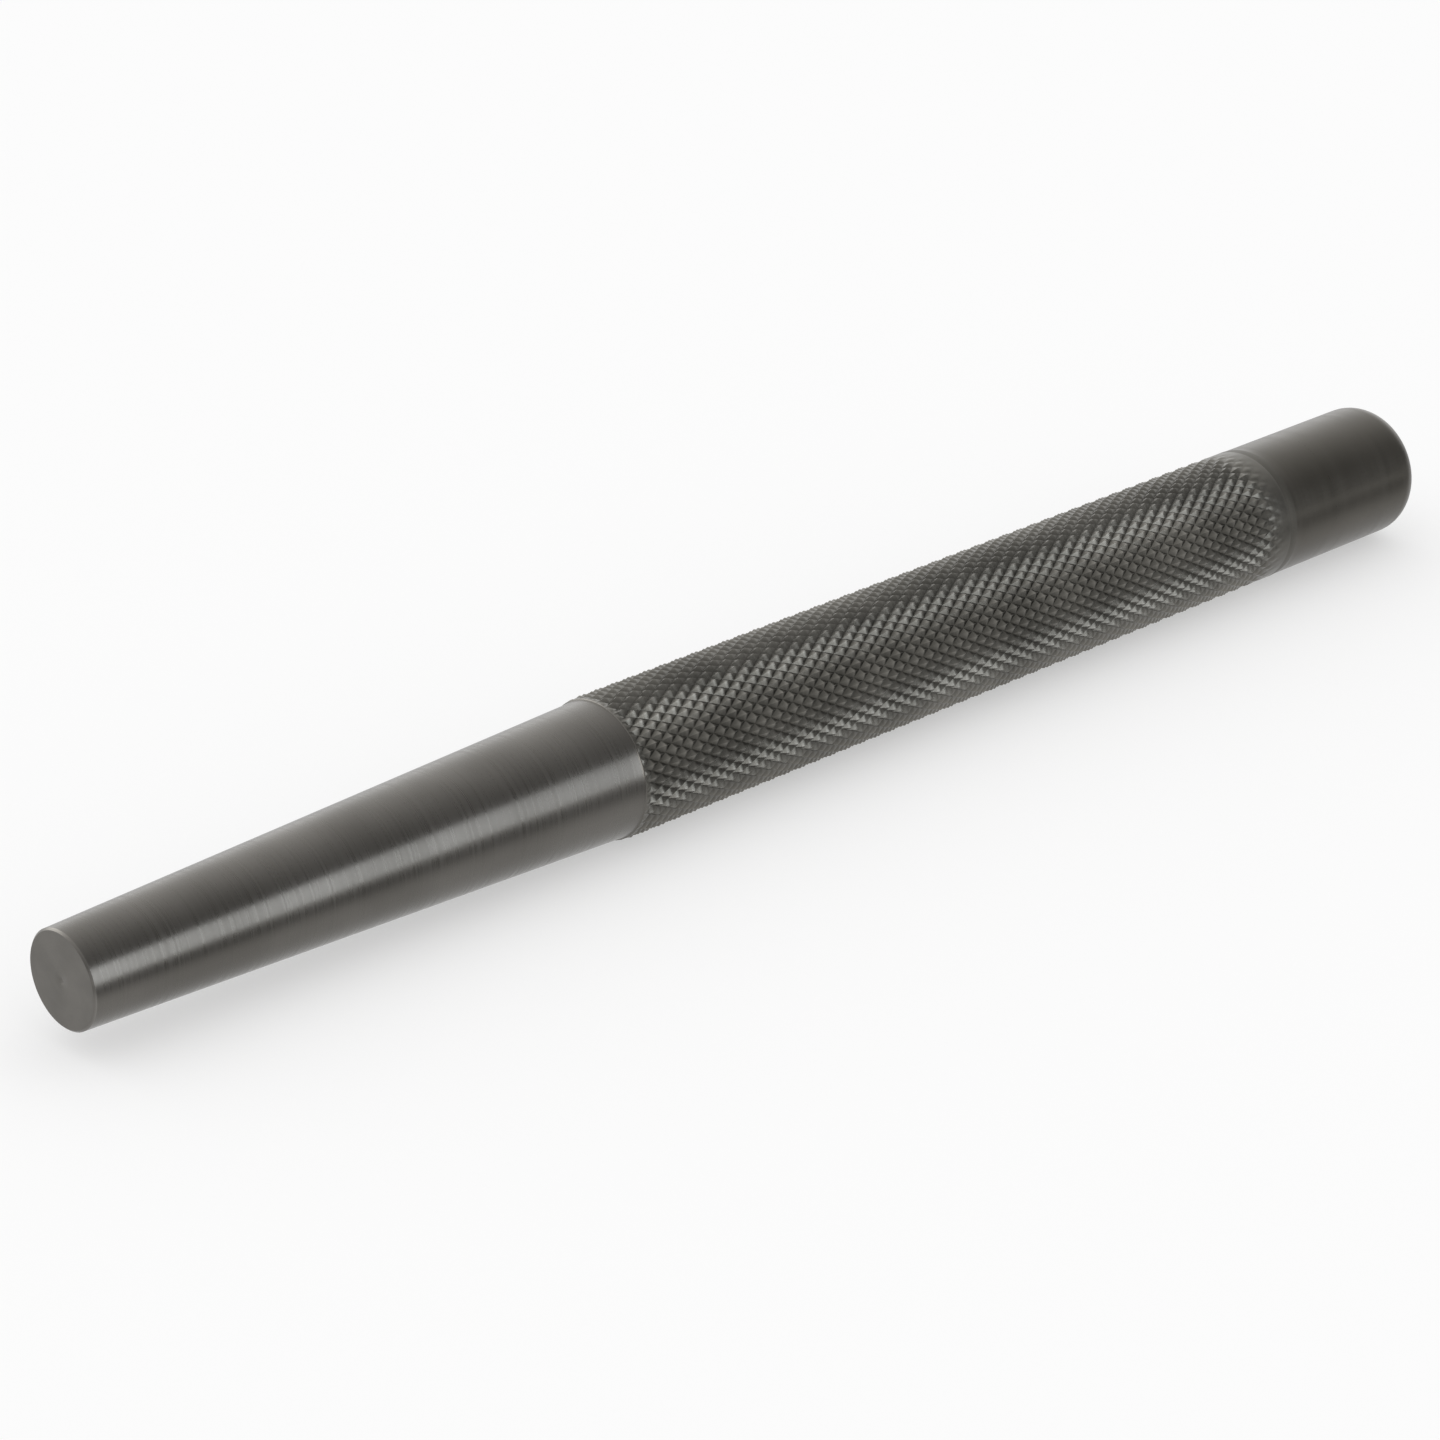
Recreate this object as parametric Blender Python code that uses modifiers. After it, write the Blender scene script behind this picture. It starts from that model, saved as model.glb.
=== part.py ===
"""Taper punch: one round steel bar with a flat tip, a long taper, a knurled grip and a plain head.

The punch lies along X, on a surface at Z = 0, with its tip towards -X and its struck end towards +X.
"""

import math

import bpy

# Driving dimensions, in metres
BAR_DIAMETER = 0.01474
TIP_DIAMETER = 0.0100
TIP_EDGE_BEVEL = 0.0002
TAPER_LENGTH = 0.0650
TAPER_SHOULDER = 0.00019
GRIP_LENGTH = 0.0980
GRIP_FRONT_CHAMFER_LENGTH = 0.0004
GRIP_REAR_CHAMFER_LENGTH = 0.0010
KNURL_RISE = 0.00013
HEAD_LENGTH = 0.0220
HEAD_EDGE_RADIUS = 0.0030

# Fineness of the turned surface
SIDES = 36
EDGE_ARC_STEPS = 8
WELD_DISTANCE = 0.00001
SHARP_EDGE_ANGLE = math.radians(30)

# Finish: satin steel under a thin black oxide
STEEL_COLOR = (0.116, 0.110, 0.100, 1.0)
STEEL_ROUGHNESS = 0.34
STEEL_METALLIC = 1.0

# The head keeps the bar's own size, the knurl's crests stand above it, and the taper is turned down below it
HEAD_RADIUS = BAR_DIAMETER / 2
GRIP_RADIUS = HEAD_RADIUS + KNURL_RISE
TAPER_ROOT_RADIUS = HEAD_RADIUS - TAPER_SHOULDER
TIP_RADIUS = TIP_DIAMETER / 2

# Heights along the bar, measured from the tip's flat face
GRIP_START = TAPER_LENGTH
GRIP_END = GRIP_START + GRIP_LENGTH
OVERALL_LENGTH = GRIP_END + HEAD_LENGTH


def clear_scene():
    for obj in list(bpy.data.objects):
        bpy.data.objects.remove(obj, do_unlink=True)


def steel_material(name):
    material = bpy.data.materials.new(name)
    material.use_nodes = True
    shader = material.node_tree.nodes["Principled BSDF"]
    shader.inputs["Base Color"].default_value = STEEL_COLOR
    shader.inputs["Roughness"].default_value = STEEL_ROUGHNESS
    shader.inputs["Metallic"].default_value = STEEL_METALLIC
    material.diffuse_color = STEEL_COLOR
    return material


def head_outline():
    """The struck face, its rounded edge and the plain side of the head, as (radius, height) points."""
    points = [(0.0, OVERALL_LENGTH)]
    for step in range(EDGE_ARC_STEPS + 1):
        angle = math.radians(90) * step / EDGE_ARC_STEPS
        radius = HEAD_RADIUS - HEAD_EDGE_RADIUS * (1 - math.sin(angle))
        height = OVERALL_LENGTH - HEAD_EDGE_RADIUS * (1 - math.cos(angle))
        points.append((radius, height))
    points.append((HEAD_RADIUS, GRIP_END))
    return points


def grip_outline():
    """The grip over the crests of its knurl, between the chamfers at its two ends."""
    return [
        (GRIP_RADIUS, GRIP_END - GRIP_REAR_CHAMFER_LENGTH),
        (GRIP_RADIUS, GRIP_START + GRIP_FRONT_CHAMFER_LENGTH),
    ]


def taper_outline():
    """The taper from its root at the grip to the flat tip, whose edge is bevelled."""
    slope = (TAPER_ROOT_RADIUS - TIP_RADIUS) / TAPER_LENGTH
    return [
        (TAPER_ROOT_RADIUS, GRIP_START),
        (TIP_RADIUS + slope * TIP_EDGE_BEVEL, TIP_EDGE_BEVEL),
        (TIP_RADIUS - TIP_EDGE_BEVEL, 0.0),
        (0.0, 0.0),
    ]


def turned_solid(name, outline, material, collection):
    """Turns an outline about Z. It runs down the outer side, from the top of the axis to its foot."""
    mesh = bpy.data.meshes.new(name)
    points = [(radius, 0.0, height) for radius, height in outline]
    edges = [(i, i + 1) for i in range(len(points) - 1)]
    mesh.from_pydata(points, edges, [])
    mesh.materials.append(material)
    solid = bpy.data.objects.new(name, mesh)
    collection.objects.link(solid)
    screw = solid.modifiers.new("turning", "SCREW")
    screw.axis = "Z"
    screw.angle = math.radians(360)
    screw.steps = SIDES
    screw.render_steps = SIDES
    screw.use_merge_vertices = True
    screw.merge_threshold = WELD_DISTANCE
    bake_modifiers(solid)
    solid.data.shade_smooth()
    solid.data.set_sharp_from_angle(angle=SHARP_EDGE_ANGLE)
    return solid


def bake_modifiers(solid):
    """Gives the object the mesh that its modifiers make, so that its sharp edges can be marked."""
    outline = solid.data
    evaluated = solid.evaluated_get(bpy.context.evaluated_depsgraph_get())
    solid.data = bpy.data.meshes.new_from_object(evaluated)
    solid.modifiers.clear()
    bpy.data.meshes.remove(outline)
    solid.data.name = solid.name


def build_punch():
    collection = bpy.data.collections.new("taper_punch")
    bpy.context.scene.collection.children.link(collection)
    outline = head_outline() + grip_outline() + taper_outline()
    punch = turned_solid("punch", outline, steel_material("blackened_steel"), collection)

    # Laid down with its axis along X, so that it rests on the knurl's crests
    punch.rotation_euler = (0.0, math.radians(90), 0.0)
    punch.location = (-OVERALL_LENGTH / 2, 0.0, GRIP_RADIUS)


clear_scene()
build_punch()
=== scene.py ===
import math

import bpy
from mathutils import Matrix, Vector


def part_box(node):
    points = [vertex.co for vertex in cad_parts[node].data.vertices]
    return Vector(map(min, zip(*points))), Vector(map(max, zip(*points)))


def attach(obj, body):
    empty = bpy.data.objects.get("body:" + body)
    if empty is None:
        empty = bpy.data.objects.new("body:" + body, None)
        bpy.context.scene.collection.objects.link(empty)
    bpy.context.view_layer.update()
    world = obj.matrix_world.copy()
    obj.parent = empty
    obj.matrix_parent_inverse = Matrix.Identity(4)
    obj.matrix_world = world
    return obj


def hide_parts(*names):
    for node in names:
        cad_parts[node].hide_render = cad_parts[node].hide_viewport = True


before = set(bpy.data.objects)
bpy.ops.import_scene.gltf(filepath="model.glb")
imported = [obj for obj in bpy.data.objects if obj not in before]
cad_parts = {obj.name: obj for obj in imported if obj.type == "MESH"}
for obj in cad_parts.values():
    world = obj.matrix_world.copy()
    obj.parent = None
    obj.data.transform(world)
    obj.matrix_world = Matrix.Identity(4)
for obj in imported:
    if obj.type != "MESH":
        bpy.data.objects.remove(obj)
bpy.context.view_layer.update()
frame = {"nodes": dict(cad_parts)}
print("frame loaded:", ", ".join(frame["nodes"]))


# Shader maths: a Wire is one output socket, and sums on wires add Math nodes
class Wire:
    def __init__(self, sheet, socket):
        self.sheet = sheet
        self.socket = socket

    def beside(self, output):  # another output of the same node
        return Wire(self.sheet, self.socket.node.outputs[output])

    def math(self, operation, first, second):
        return self.sheet.node("ShaderNodeMath", {"operation": operation}, {0: first, 1: second})

    def __add__(self, other):
        return self.math("ADD", self, other)

    def __sub__(self, other):
        return self.math("SUBTRACT", self, other)

    def __rsub__(self, other):
        return self.math("SUBTRACT", other, self)

    def __mul__(self, other):
        return self.math("MULTIPLY", self, other)

    def __truediv__(self, other):
        return self.math("DIVIDE", self, other)

    def __rtruediv__(self, other):
        return self.math("DIVIDE", other, self)

    def __pow__(self, other):
        return self.math("POWER", self, other)

    def __rpow__(self, other):
        return self.math("POWER", other, self)

    __radd__ = __add__
    __rmul__ = __mul__


# A sheet is one node tree, and node() makes any node on it
class Sheet:
    def __init__(self, tree):
        self.tree = tree
        self.tree.nodes.clear()

    def node(self, kind, settings=None, values=None, output=0):
        made = self.tree.nodes.new(kind)
        for name, value in (settings or {}).items():
            setattr(made, name, value)
        for name, value in (values or {}).items():
            if isinstance(value, Wire):
                self.tree.links.new(value.socket, made.inputs[name])
            else:
                made.inputs[name].default_value = value
        return Wire(self, made.outputs[output]) if made.outputs else None

    def axes(self, vector):
        first = self.node("ShaderNodeSeparateXYZ", values={"Vector": vector})
        return first, first.beside("Y"), first.beside("Z")

    def lines(self, place, detail):  # noise along one axis
        return self.node("ShaderNodeTexNoise", {"noise_dimensions": "1D"},
                         {"W": place, "Scale": 1.0, "Detail": detail})

    def cloud(self, place, size, detail):  # noise all round
        return self.node("ShaderNodeTexNoise",
                         values={"Vector": place, "Scale": 1 / size, "Detail": detail})

    def ramp(self, value, start, end):  # 0 to 1 with soft ends
        return self.node("ShaderNodeMapRange", {"interpolation_type": "SMOOTHSTEP"},
                         {"Value": value, "From Min": start, "From Max": end})

    def blend(self, factor, colourA, colourB):  # a Mix node's colour sockets go by number
        return self.node("ShaderNodeMix", {"data_type": "RGBA"}, {0: factor, 6: colourA, 7: colourB}, 2)


# The punch's shape, in metres; stations are counted from the tip's flat face
punchShape = {
    "columns": 216,
    "tipRadius": 0.0050,
    "tipBevel": 0.0002,
    "tipWear": (0.4, 0.6),  # at the face's edge and behind the bevel
    "pipRadius": 0.00042,  # the centre mark in the tip's face
    "pipDepth": 0.00008,
    "pipSteps": ((0.75, 0.4), (0.2, 0.85)),  # shares of its depth and radius
    "faceRings": 6,
    "taperEnd": 0.0650,
    "taperRootRadius": 0.00718,
    "taperRings": 48,
    "filletRadius": 0.00025,
    "filletSweep": 66,  # degrees
    "filletRings": 6,
    "gripEnd": 0.1630,
    "frontChamfer": 0.0007,
    "ringRise": 0.00004,  # of the rolled ring next to the head
    "knurlStarts": 36,
    "knurlPitches": 45,
    "rowsPerPitch": 6,
    "knurlDepth": 0.00045,
    "grooveRounding": 0.05,  # this and the blunting are shares of half the grooves' spacing
    "crestBlunting": 0.04,
    "runInEnd": 0.0660,
    "runInDepth": 0.35,
    "runOutStart": 0.1560,
    "runOutEnd": 0.1617,
    "runOutCrest": 0.3,
    "headRadius": 0.00737,
    "headEdgeRadius": 0.0030,
    "headWear": 0.5,
    "headRings": 16,
    "edgeSteps": 12,
    "sharpAngle": 38,  # degrees
}

low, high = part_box("punch")
length = high[0] - low[0]
crestRadius = (high[2] - low[2]) / 2
axisHeight = (high[2] + low[2]) / 2
tipX = low[0]

finishNames = ("faced", "turned", "knurled", "rolled", "plain")


def smooth(value, start, end):
    share = min(max((value - start) / (end - start), 0.0), 1.0)
    return share * share * (3 - 2 * share)


def fold(value):  # distance to the nearest whole number, 0 to 0.5
    return abs(value - round(value))


# One ring of the turned skin: its station, its radii, and the finish of the faces behind it
class Ring:
    def __init__(self, station, radii, finish, crest=0.0, worn=0.0):
        self.station = station
        self.radii = radii
        self.finish = finish
        self.crest = crest
        self.worn = worn


def allRound(value, count):  # one value for a ring's every column
    return value if isinstance(value, list) else [value] * count


def widest(ring):
    return max(allRound(ring.radii, 1))


def tipRings(shape):
    rings = [Ring(shape["pipDepth"] * depth, shape["pipRadius"] * reach, "faced")
             for depth, reach in shape["pipSteps"]]
    faceEdge = shape["tipRadius"] - shape["tipBevel"]
    for step in range(shape["faceRings"] + 1):
        share = step / shape["faceRings"]
        rings.append(Ring(0.0, shape["pipRadius"] + (faceEdge - shape["pipRadius"]) * share, "faced"))
    rings[-1].finish = "turned"
    rings[-1].worn = shape["tipWear"][0]
    return rings


def filletReach(shape, share):  # how far a share of the shoulder's fillet reaches along the bar
    return shape["filletRadius"] * math.sin(math.radians(shape["filletSweep"]) * share)


def taperRadius(shape, station):
    slope = (shape["taperRootRadius"] - shape["tipRadius"]) / shape["taperEnd"]
    past = max(station - shape["taperEnd"] + filletReach(shape, 1), 0.0)
    fillet = shape["filletRadius"] - math.sqrt(shape["filletRadius"] ** 2 - past ** 2)
    return shape["tipRadius"] + slope * station + fillet


def taperRings(shape):
    filletStart = shape["taperEnd"] - filletReach(shape, 1)
    stations = [shape["tipBevel"]]
    stations += [2 * shape["tipBevel"] + (filletStart - 2 * shape["tipBevel"]) * step / shape["taperRings"]
                 for step in range(shape["taperRings"])]
    stations += [filletStart + filletReach(shape, step / shape["filletRings"])
                 for step in range(shape["filletRings"])]
    rings = [Ring(station, taperRadius(shape, station), "turned") for station in stations]
    rings[0].worn = shape["tipWear"][1]
    return rings


# Height over the groove bottoms, 0 to 1, from the distance to the nearest of two crossing groove families
def knurlHeight(shape, turn, pitch):
    gap = 2 * min(fold(turn + pitch), fold(turn - pitch))
    rounded = math.hypot(gap, shape["grooveRounding"])
    top = 1 - shape["crestBlunting"]
    return min(rounded, top) / top


# How much of their full depth the grooves have, as they run in at the shoulder and out at the head
def knurlShare(shape, station):
    runIn = smooth(station, shape["taperEnd"], shape["runInEnd"])
    runOut = smooth(station, shape["runOutStart"], shape["runOutEnd"])
    return (shape["runInDepth"] + (1 - shape["runInDepth"]) * runIn) * (1 - runOut)


def crestLine(shape, station):  # the crests sink towards the head as the grooves run out
    runOut = smooth(station, shape["runOutStart"], shape["runOutEnd"])
    return crestRadius + (shape["headRadius"] + shape["ringRise"] - crestRadius) * runOut


def shoulderLimit(shape, station):
    shoulder = taperRadius(shape, shape["taperEnd"])
    return shoulder + (crestRadius - shoulder) * (station - shape["taperEnd"]) / shape["frontChamfer"]


def knurlRings(shape):
    rows = shape["knurlPitches"] * shape["rowsPerPitch"]
    rings = []
    for row in range(rows):
        station = shape["taperEnd"] + (shape["gripEnd"] - shape["taperEnd"]) * row / rows
        share = knurlShare(shape, station)
        top = crestLine(shape, station)
        limit = shoulderLimit(shape, station)
        radii, crest = [], []
        for column in range(shape["columns"]):
            height = knurlHeight(shape, column * shape["knurlStarts"] / shape["columns"],
                                 row / shape["rowsPerPitch"])
            radii.append(min(top - shape["knurlDepth"] * share * (1 - height), limit))
            crest.append(height * share + shape["runOutCrest"] * (1 - share))
        rings.append(Ring(station, radii, "knurled" if station < shape["runOutEnd"] else "rolled", crest))
    return rings


def headRings(shape):
    edgeStart = length - shape["headEdgeRadius"]
    rings = []
    for step in range(shape["headRings"]):
        station = shape["gripEnd"] + (edgeStart - shape["gripEnd"]) * step / shape["headRings"]
        rings.append(Ring(station, shape["headRadius"], "plain"))
    for step in range(shape["edgeSteps"] + 1):
        angle = math.radians(90) * step / shape["edgeSteps"]
        station = edgeStart + shape["headEdgeRadius"] * math.sin(angle)
        radius = shape["headRadius"] - shape["headEdgeRadius"] * (1 - math.cos(angle))
        rings.append(Ring(station, radius, "plain", worn=shape["headWear"] * math.sin(angle)))
    struckRadius = shape["headRadius"] - shape["headEdgeRadius"]
    rings[-1].finish = "faced"
    for step in range(1, shape["faceRings"]):
        rings.append(Ring(length, struckRadius * (1 - step / shape["faceRings"]), "faced"))
    return rings


# Baking map: the skin in bands side by side, with the two end faces as discs beside them
bakeMap = {
    "bands": 4,
    "bandsPerRow": 2,
    "bandWidth": 0.425,
    "bandHeight": 0.485,
    "margin": 0.006,
    "discCentres": ((0.93, 0.075), (0.93, 0.225)),
    "discScale": 12.0,
}


# Where each ring lies on the baking map: the band of the faces behind it, and its rise in that band
class BakeBands:
    def __init__(self, rings, layout):
        self.layout = layout
        self.travel = [0.0]
        for before, after in zip(rings, rings[1:]):
            step = math.hypot(after.station - before.station, widest(after) - widest(before))
            self.travel.append(self.travel[-1] + step)
        self.first = next(i for i, ring in enumerate(rings) if ring.finish != "faced")
        self.last = max(i for i, ring in enumerate(rings) if ring.finish != "faced") + 1
        self.bandLength = (self.travel[self.last] - self.travel[self.first]) / layout["bands"]

    def holds(self, level):
        return self.first <= level < self.last

    def band(self, level):
        middle = (self.travel[level] + self.travel[level + 1]) / 2 - self.travel[self.first]
        return int(middle / self.bandLength)

    def place(self, band, level, turn):
        rise = (self.travel[level] - self.travel[self.first]) / self.bandLength - band
        margin, width, height = (self.layout[name] for name in ("margin", "bandWidth", "bandHeight"))
        row, column = divmod(band, self.layout["bandsPerRow"])
        return (margin + column * (width + margin) + turn * width,
                margin + row * (height + margin) + rise * height)

    def discPlace(self, level, point):
        centre = self.layout["discCentres"][0 if level < self.first else 1]
        return tuple(middle + self.layout["discScale"] * value for middle, value in zip(centre, point))


# The skin as it is gathered: its faces, their corners' places on the baking map, and their finishes
class Skin:
    def __init__(self):
        self.faces, self.places, self.slots = [], [], []

    def add(self, corners, spots, finish):
        self.faces.append(corners)
        self.places.extend(spots)
        self.slots.append(finishNames.index(finish))


def gatherSkin(shape, rings, points, bands):
    count = shape["columns"]
    knurlStart = next(i for i, ring in enumerate(rings) if ring.finish == "knurled")
    skin = Skin()
    for level, ring in enumerate(rings[:-1]):
        band = bands.band(level)
        for column in range(count):
            across = (column + 1) % count
            corners = [level * count + column, level * count + across,
                       (level + 1) * count + across, (level + 1) * count + column]
            if bands.holds(level):
                spots = [bands.place(band, level + up, (column + turn) / count)
                         for turn, up in ((0, 0), (1, 0), (1, 1), (0, 1))]
            else:
                spots = [bands.discPlace(level, points[corner]) for corner in corners]
            if ring.finish != "knurled":
                skin.add(corners, spots, ring.finish)
                continue
            # Each cell is cut along the way of its nearest groove
            turns = (column + 0.5) * shape["knurlStarts"] / count
            pitches = (level - knurlStart + 0.5) / shape["rowsPerPitch"]
            if fold(turns + pitches) < fold(turns - pitches):
                cuts = ((0, 1, 3), (1, 2, 3))
            else:
                cuts = ((0, 1, 2), (0, 2, 3))
            for cut in cuts:
                skin.add([corners[i] for i in cut], [spots[i] for i in cut], "knurled")

    # The middles of the tip's face and of the struck face
    lastLevel = len(rings) - 1
    tipCentre, struckCentre = len(points) - 2, len(points) - 1
    for column in range(count):
        across = (column + 1) % count
        tipFan = [tipCentre, across, column]
        struckFan = [struckCentre, lastLevel * count + column, lastLevel * count + across]
        for fan, level in ((tipFan, 0), (struckFan, lastLevel)):
            skin.add(fan, [bands.discPlace(level, points[corner]) for corner in fan], "faced")
    return skin


# The punch is turned about its own Z axis, with the tip at its origin, and laid down along X
def buildPunch(shape, layout, finishes):
    rings = tipRings(shape) + taperRings(shape) + knurlRings(shape) + headRings(shape)
    count = shape["columns"]
    points, crest, worn = [], [], []
    for ring in rings:
        for column, radius in enumerate(allRound(ring.radii, count)):
            angle = 2 * math.pi * column / count
            points.append((radius * math.cos(angle), radius * math.sin(angle), ring.station))
        crest += allRound(ring.crest, count)
        worn += allRound(ring.worn, count)
    for station in (shape["pipDepth"], length):
        points.append((0.0, 0.0, station))
        crest.append(0.0)
        worn.append(0.0)
    skin = gatherSkin(shape, rings, points, BakeBands(rings, layout))

    mesh = bpy.data.meshes.new("punchSkin")
    mesh.from_pydata(points, [], skin.faces)
    uvMap = mesh.uv_layers.new(name="OFBake")
    uvMap.uv.foreach_set("vector", [value for place in skin.places for value in place])
    for name, values in (("crest", crest), ("worn", worn)):
        mesh.attributes.new(name, "FLOAT", "POINT").data.foreach_set("value", values)
    for finish in finishNames:
        mesh.materials.append(finishes[finish])
    mesh.polygons.foreach_set("material_index", skin.slots)
    mesh.shade_smooth()
    mesh.set_sharp_from_angle(angle=math.radians(shape["sharpAngle"]))
    punch = bpy.data.objects.new("punchSkin", mesh)
    punch.location = (tipX, 0.0, axisHeight)
    punch.rotation_euler = (0.0, math.radians(90), 0.0)
    bpy.context.scene.collection.objects.link(punch)
    print("punch skin:", len(points), "points,", len(skin.faces), "faces")
    return punch


# Blackened steel in five finishes; colours are linear, pitches and sizes in metres
steelLooks = {
    "turned": {
        "oxide": (0.116, 0.110, 0.100, 1.0),
        "thinOxide": (0.139, 0.132, 0.121, 1.0),
        "bareEdge": (0.30, 0.29, 0.275, 1.0),
        "roughness": 0.30,
        "streakRoughness": 0.32,
        "anisotropy": 0.5,
        "linePitch": 0.00022,
        "bandPitch": 0.00055,
        "patchSize": 0.012,
        "lineRelief": 0.0000007,
        "crestLift": 0.0,
    },
    "knurled": {
        "oxide": (0.092, 0.088, 0.078, 1.0),
        "thinOxide": (0.226, 0.216, 0.194, 1.0),
        "bareEdge": (0.22, 0.215, 0.205, 1.0),
        "roughness": 0.34,
        "streakRoughness": 0.20,
        "anisotropy": 0.0,
        "linePitch": 0.00030,
        "bandPitch": 0.0030,
        "patchSize": 0.009,
        "lineRelief": 0.0000010,
        "crestLift": 0.7,
    },
    "rolled": {
        "oxide": (0.093, 0.088, 0.077, 1.0),
        "thinOxide": (0.111, 0.105, 0.092, 1.0),
        "bareEdge": (0.24, 0.23, 0.215, 1.0),
        "roughness": 0.48,
        "streakRoughness": 0.16,
        "anisotropy": 0.0,
        "linePitch": 0.00020,
        "bandPitch": 0.0014,
        "patchSize": 0.008,
        "lineRelief": 0.0000006,
        "crestLift": 0.0,
    },
    "plain": {
        "oxide": (0.086, 0.080, 0.069, 1.0),
        "thinOxide": (0.100, 0.093, 0.081, 1.0),
        "bareEdge": (0.24, 0.23, 0.215, 1.0),
        "roughness": 0.33,
        "streakRoughness": 0.20,
        "anisotropy": 0.3,
        "linePitch": 0.00016,
        "bandPitch": 0.0014,
        "patchSize": 0.010,
        "lineRelief": 0.0000006,
        "crestLift": 0.0,
    },
    "faced": {
        "oxide": (0.121, 0.115, 0.105, 1.0),
        "thinOxide": (0.144, 0.137, 0.125, 1.0),
        "bareEdge": (0.24, 0.23, 0.22, 1.0),
        "roughness": 0.40,
        "streakRoughness": 0.24,
        "anisotropy": 0.0,
        "linePitch": 0.00024,
        "bandPitch": 0.0009,
        "patchSize": 0.004,
        "lineRelief": 0.0000010,
        "crestLift": 0.0,
    },
}

# What all five finishes share
steelGrain = {
    "noiseMiddle": 0.5,
    "wanderSize": 0.006,
    "wanderDetail": 2.0,
    "wanderLines": 0.6,
    "lineDetail": 2.0,
    "lineShare": 0.5,
    "patchDetail": 4.0,
    "patchShare": 0.75,
    "toneSpan": (0.36, 0.64),
    "wornPatches": 0.9,
    "wornSpan": (0.45, 1.05),
    "wornShare": 0.7,
    "grainSize": 0.00035,
    "grainDetail": 2.0,
    "grainRoughness": 0.06,
    "grainRelief": 0.4,
    "acrossAxis": 0.25,  # a quarter turn, so that highlights stretch along the bar
}


def blackenedSteel(finish, look, grain):
    steel = bpy.data.materials.new("blackenedSteel_" + finish)
    steel.use_nodes = True
    sheet = Sheet(steel.node_tree)
    place = sheet.node("ShaderNodeTexCoord", output="Object")
    across, up, along = sheet.axes(place)
    if finish == "faced":  # facing lines run round the centre
        along = (across * across + up * up) ** 0.5
    crest = sheet.node("ShaderNodeAttribute", {"attribute_name": "crest"}, output="Fac")
    worn = sheet.node("ShaderNodeAttribute", {"attribute_name": "worn"}, output="Fac")

    wander = sheet.cloud(place, grain["wanderSize"], grain["wanderDetail"]) * grain["wanderLines"]
    lines = sheet.lines(along / look["linePitch"] + wander, grain["lineDetail"])
    bands = sheet.lines(along / look["bandPitch"] + wander, grain["lineDetail"])
    patches = sheet.cloud(place, look["patchSize"], grain["patchDetail"])
    speckle = sheet.cloud(place, grain["grainSize"], grain["grainDetail"])

    streak = lines * grain["lineShare"] + bands * (1 - grain["lineShare"])
    tone = patches * grain["patchShare"] + streak * (1 - grain["patchShare"])
    tone = sheet.ramp(tone, *grain["toneSpan"])
    if look["crestLift"]:  # crests are rubbed lighter than groove bottoms
        tone = tone * (1 - look["crestLift"]) + crest * crest * look["crestLift"]
    colour = sheet.blend(tone, look["oxide"], look["thinOxide"])
    middle = grain["noiseMiddle"]
    edge = sheet.ramp(worn + (patches - middle) * grain["wornPatches"], *grain["wornSpan"])
    colour = sheet.blend(edge * grain["wornShare"], colour, look["bareEdge"])
    roughness = look["roughness"] + (streak - middle) * look["streakRoughness"]
    roughness = roughness + (speckle - middle) * grain["grainRoughness"]
    bump = sheet.node("ShaderNodeBump", values={
        "Distance": look["lineRelief"], "Height": lines + speckle * grain["grainRelief"]})
    shader = sheet.node("ShaderNodeBsdfPrincipled", values={
        "Base Color": colour, "Roughness": roughness, "Metallic": 1.0, "Normal": bump,
        "Anisotropic": look["anisotropy"], "Anisotropic Rotation": grain["acrossAxis"]})
    sheet.node("ShaderNodeOutputMaterial", values={"Surface": shader})
    return steel


finishes = {finish: blackenedSteel(finish, look, steelGrain) for finish, look in steelLooks.items()}
print("finishes:", ", ".join(finishes))

punch = buildPunch(punchShape, bakeMap, finishes)
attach(punch, "root")
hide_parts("punch")

# Table: white paper; the steel mirrors it with a painted shade strip in front of the punch, dim only in
# reflections
tableTop = {
    "colour": (0.95, 0.95, 0.95, 1.0),
    "size": 8.0,
    "whiteShare": 0.45,  # even white over the shaded paper, as the eye sees it
    "mirrorShare": 0.75,  # and as the steel mirrors it
    # where the painted shade strip lies and how dark it is, seen only in the steel's reflections
    "dimFrom": (0.010, 0.028),  # metres in front of the punch's axis
    "dimTo": (0.055, 0.11),
    "paintedDimShare": 0.8,
}


def buildTable(top):
    half = top["size"] / 2
    corners = [(-half, -half, 0), (half, -half, 0), (half, half, 0), (-half, half, 0)]
    mesh = bpy.data.meshes.new("table")
    mesh.from_pydata(corners, [], [(0, 1, 2, 3)])
    paper = bpy.data.materials.new("tablePaper")
    paper.use_nodes = True
    sheet = Sheet(paper.node_tree)
    front = sheet.axes(sheet.node("ShaderNodeTexCoord", output="Object"))[1] * -1
    # painted shade: a strip in front of the punch that only the steel's reflections see dimmed
    dim = sheet.ramp(front, *top["dimFrom"]) * (1 - sheet.ramp(front, *top["dimTo"]))
    camera = sheet.node("ShaderNodeLightPath", output="Is Camera Ray")
    glossy = camera.beside("Is Glossy Ray")
    white = camera * top["whiteShare"] + glossy * top["mirrorShare"]
    shaded = sheet.node("ShaderNodeBsdfDiffuse", values={"Color": top["colour"]})
    even = sheet.node("ShaderNodeEmission", values={"Color": 1 - glossy * dim * top["paintedDimShare"]})
    shader = sheet.node("ShaderNodeMixShader", values={0: white, 1: shaded, 2: even})
    sheet.node("ShaderNodeOutputMaterial", values={"Surface": shader})
    mesh.materials.append(paper)
    table = bpy.data.objects.new("table", mesh)
    bpy.context.scene.collection.objects.link(table)


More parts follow.
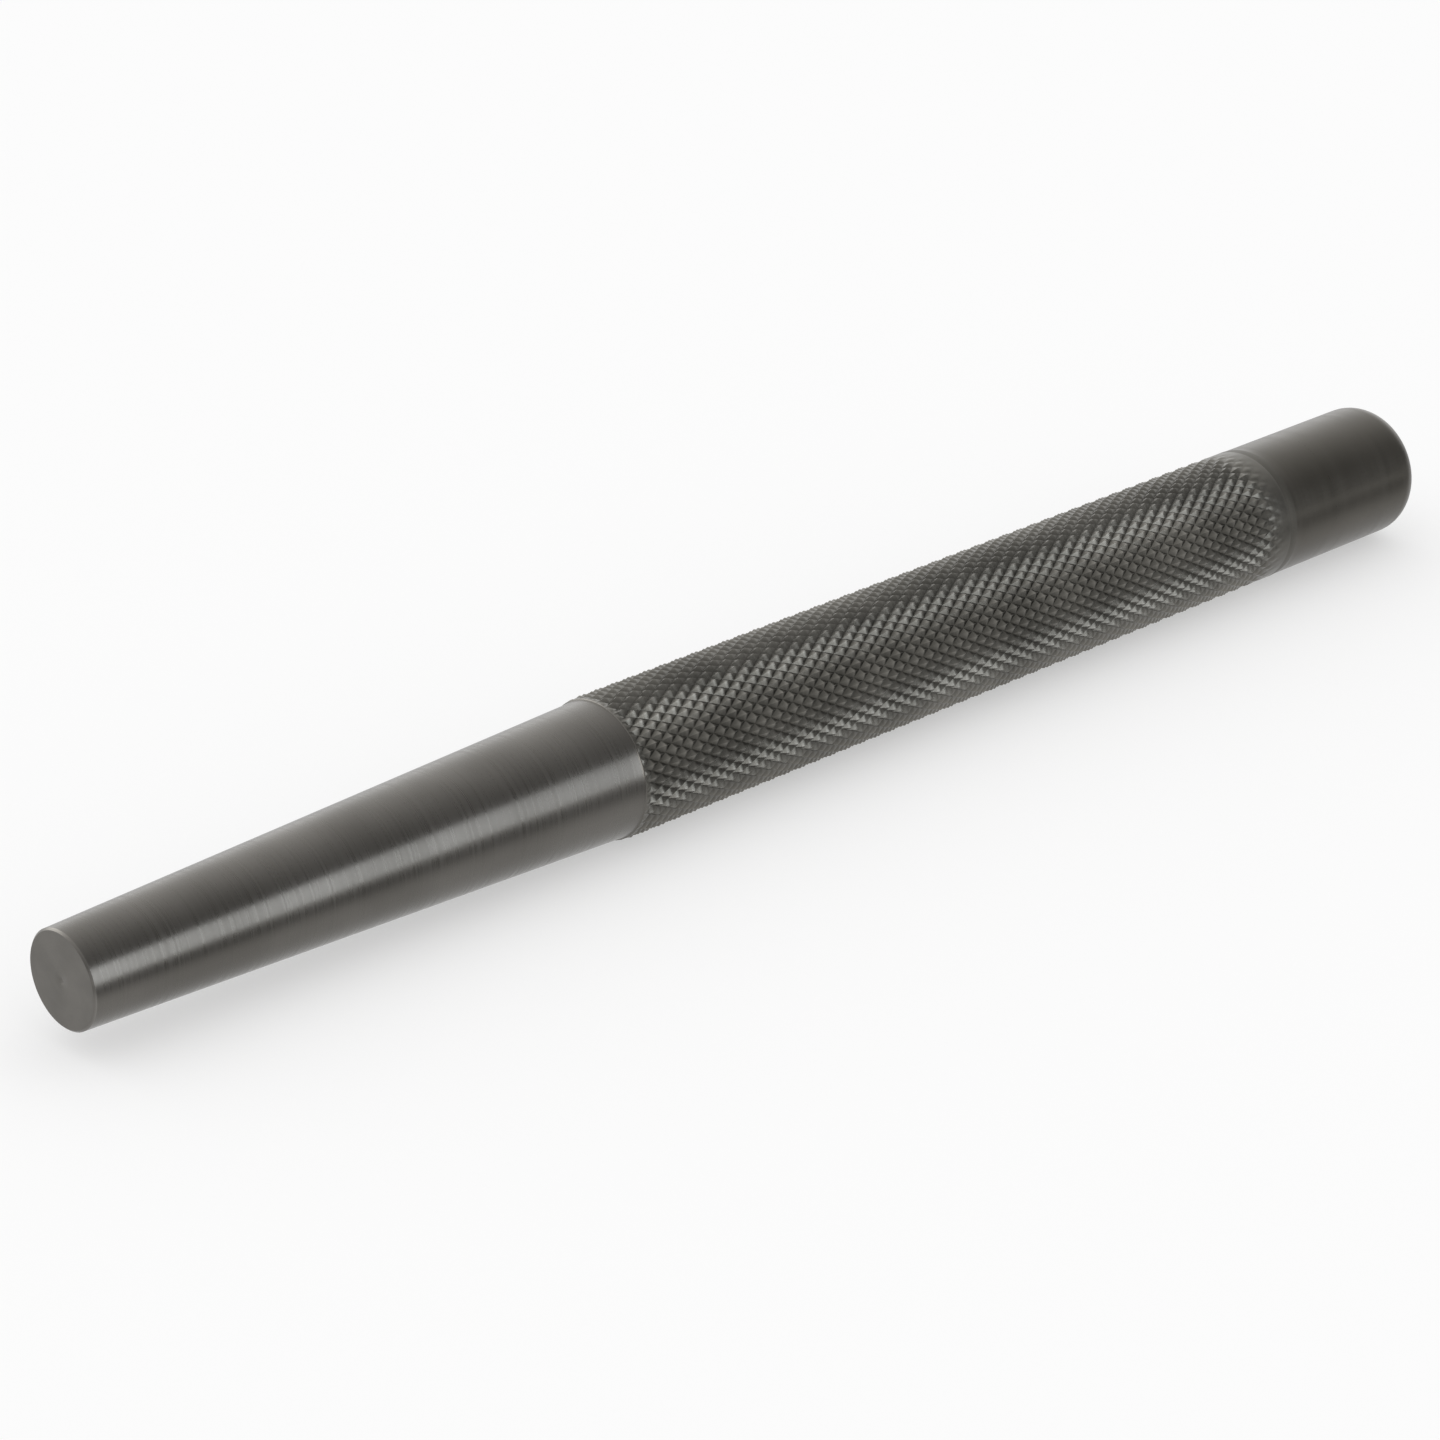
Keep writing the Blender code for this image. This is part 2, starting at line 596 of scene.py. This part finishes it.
# Room: white to the eye; the steel mirrors it dim in front, and brighter over the top and behind
studioRoom = {
    "dimLevel": 0.30,
    "dimTo": (30.0, 175.0),  # degrees, up from the front and over to the back
    "backLevel": 1.60,
}


def buildRoom(studio):
    room = bpy.data.worlds.new("studioRoom")
    room.use_nodes = True
    sheet = Sheet(room.node_tree)
    behind, up = sheet.axes(sheet.node("ShaderNodeTexCoord", output="Generated"))[1:]
    raised = up.math("ARCTAN2", up, behind * -1) / math.radians(1)
    lit = sheet.ramp(raised, *studio["dimTo"])
    level = studio["dimLevel"] + lit * (studio["backLevel"] - studio["dimLevel"])
    glossy = sheet.node("ShaderNodeLightPath", output="Is Glossy Ray")
    light = sheet.node("ShaderNodeBackground", values={"Color": 1 + glossy * (level - 1)})
    sheet.node("ShaderNodeOutputWorld", values={"Surface": light})
    bpy.context.scene.world = room


# Soft lamps round the table; radiance is what the steel mirrors
lampDistance = 0.55
softLamps = {
    "frontRightLamp": {
        "direction": (0.30, -0.93, 0.21),
        "size": (0.285, 0.37),
        "radiance": 2.85,
        "tint": (0.945, 1.0, 1.06),
    },
    "frontLeftLamp": {
        "direction": (-0.46, -0.855, 0.24),
        "size": (0.52, 0.30),
        "radiance": 2.4,
        "tint": (1.0, 1.0, 1.0),
    },
    "backLeftLamp": {
        "direction": (-0.60, 0.765, 0.24),
        "size": (0.34, 0.32),
        "radiance": 2.4,
        "tint": (1.0, 1.0, 1.0),
    },
}


def buildLamp(name, settings):
    towards = Vector(settings["direction"]).normalized()
    width, height = settings["size"]
    lamp = bpy.data.lights.new(name, "AREA")
    lamp.shape = "RECTANGLE"
    lamp.size, lamp.size_y = width, height
    lamp.color = settings["tint"]
    lamp.energy = settings["radiance"] * math.pi * width * height
    holder = bpy.data.objects.new(name, lamp)
    holder.location = towards * lampDistance
    holder.rotation_euler = towards.to_track_quat("Z", "Y").to_euler()
    holder.visible_camera = False
    holder.visible_diffuse = False  # the table is lit by the room alone, so it stays even
    bpy.context.scene.collection.objects.link(holder)


buildTable(tableTop)
buildRoom(studioRoom)
for name, settings in softLamps.items():
    buildLamp(name, settings)
print("studio built: table, room,", len(softLamps), "lamps")

# The camera, placed by where it sees the middle of the tip: to the right, up and away
photoView = {
    "azimuth": -43.44,
    "elevation": 24.58,
    "lens": 116.5,
    "sensor": 36.0,
    "tipSeenAt": (-0.05936, -0.02351, 0.42021),
}


def buildCamera(settings):
    around = math.radians(settings["azimuth"])
    raised = math.radians(settings["elevation"])
    level = math.cos(raised)
    back = Vector((math.sin(around) * level, -math.cos(around) * level, math.sin(raised)))
    right = Vector((math.cos(around), math.sin(around), 0.0))
    up = back.cross(right)
    across, above, away = settings["tipSeenAt"]
    lens = bpy.data.cameras.new("photoCamera")
    lens.lens = settings["lens"]
    lens.sensor_width = settings["sensor"]
    camera = bpy.data.objects.new("photoCamera", lens)
    camera.location = Vector((tipX, 0.0, axisHeight)) - across * right - above * up + away * back
    camera.rotation_euler = back.to_track_quat("Z", "Y").to_euler()
    bpy.context.scene.collection.objects.link(camera)
    bpy.context.scene.camera = camera


buildCamera(photoView)
bpy.context.scene.view_settings.view_transform = "Standard"
print("camera set")

bpy.context.view_layer.update()
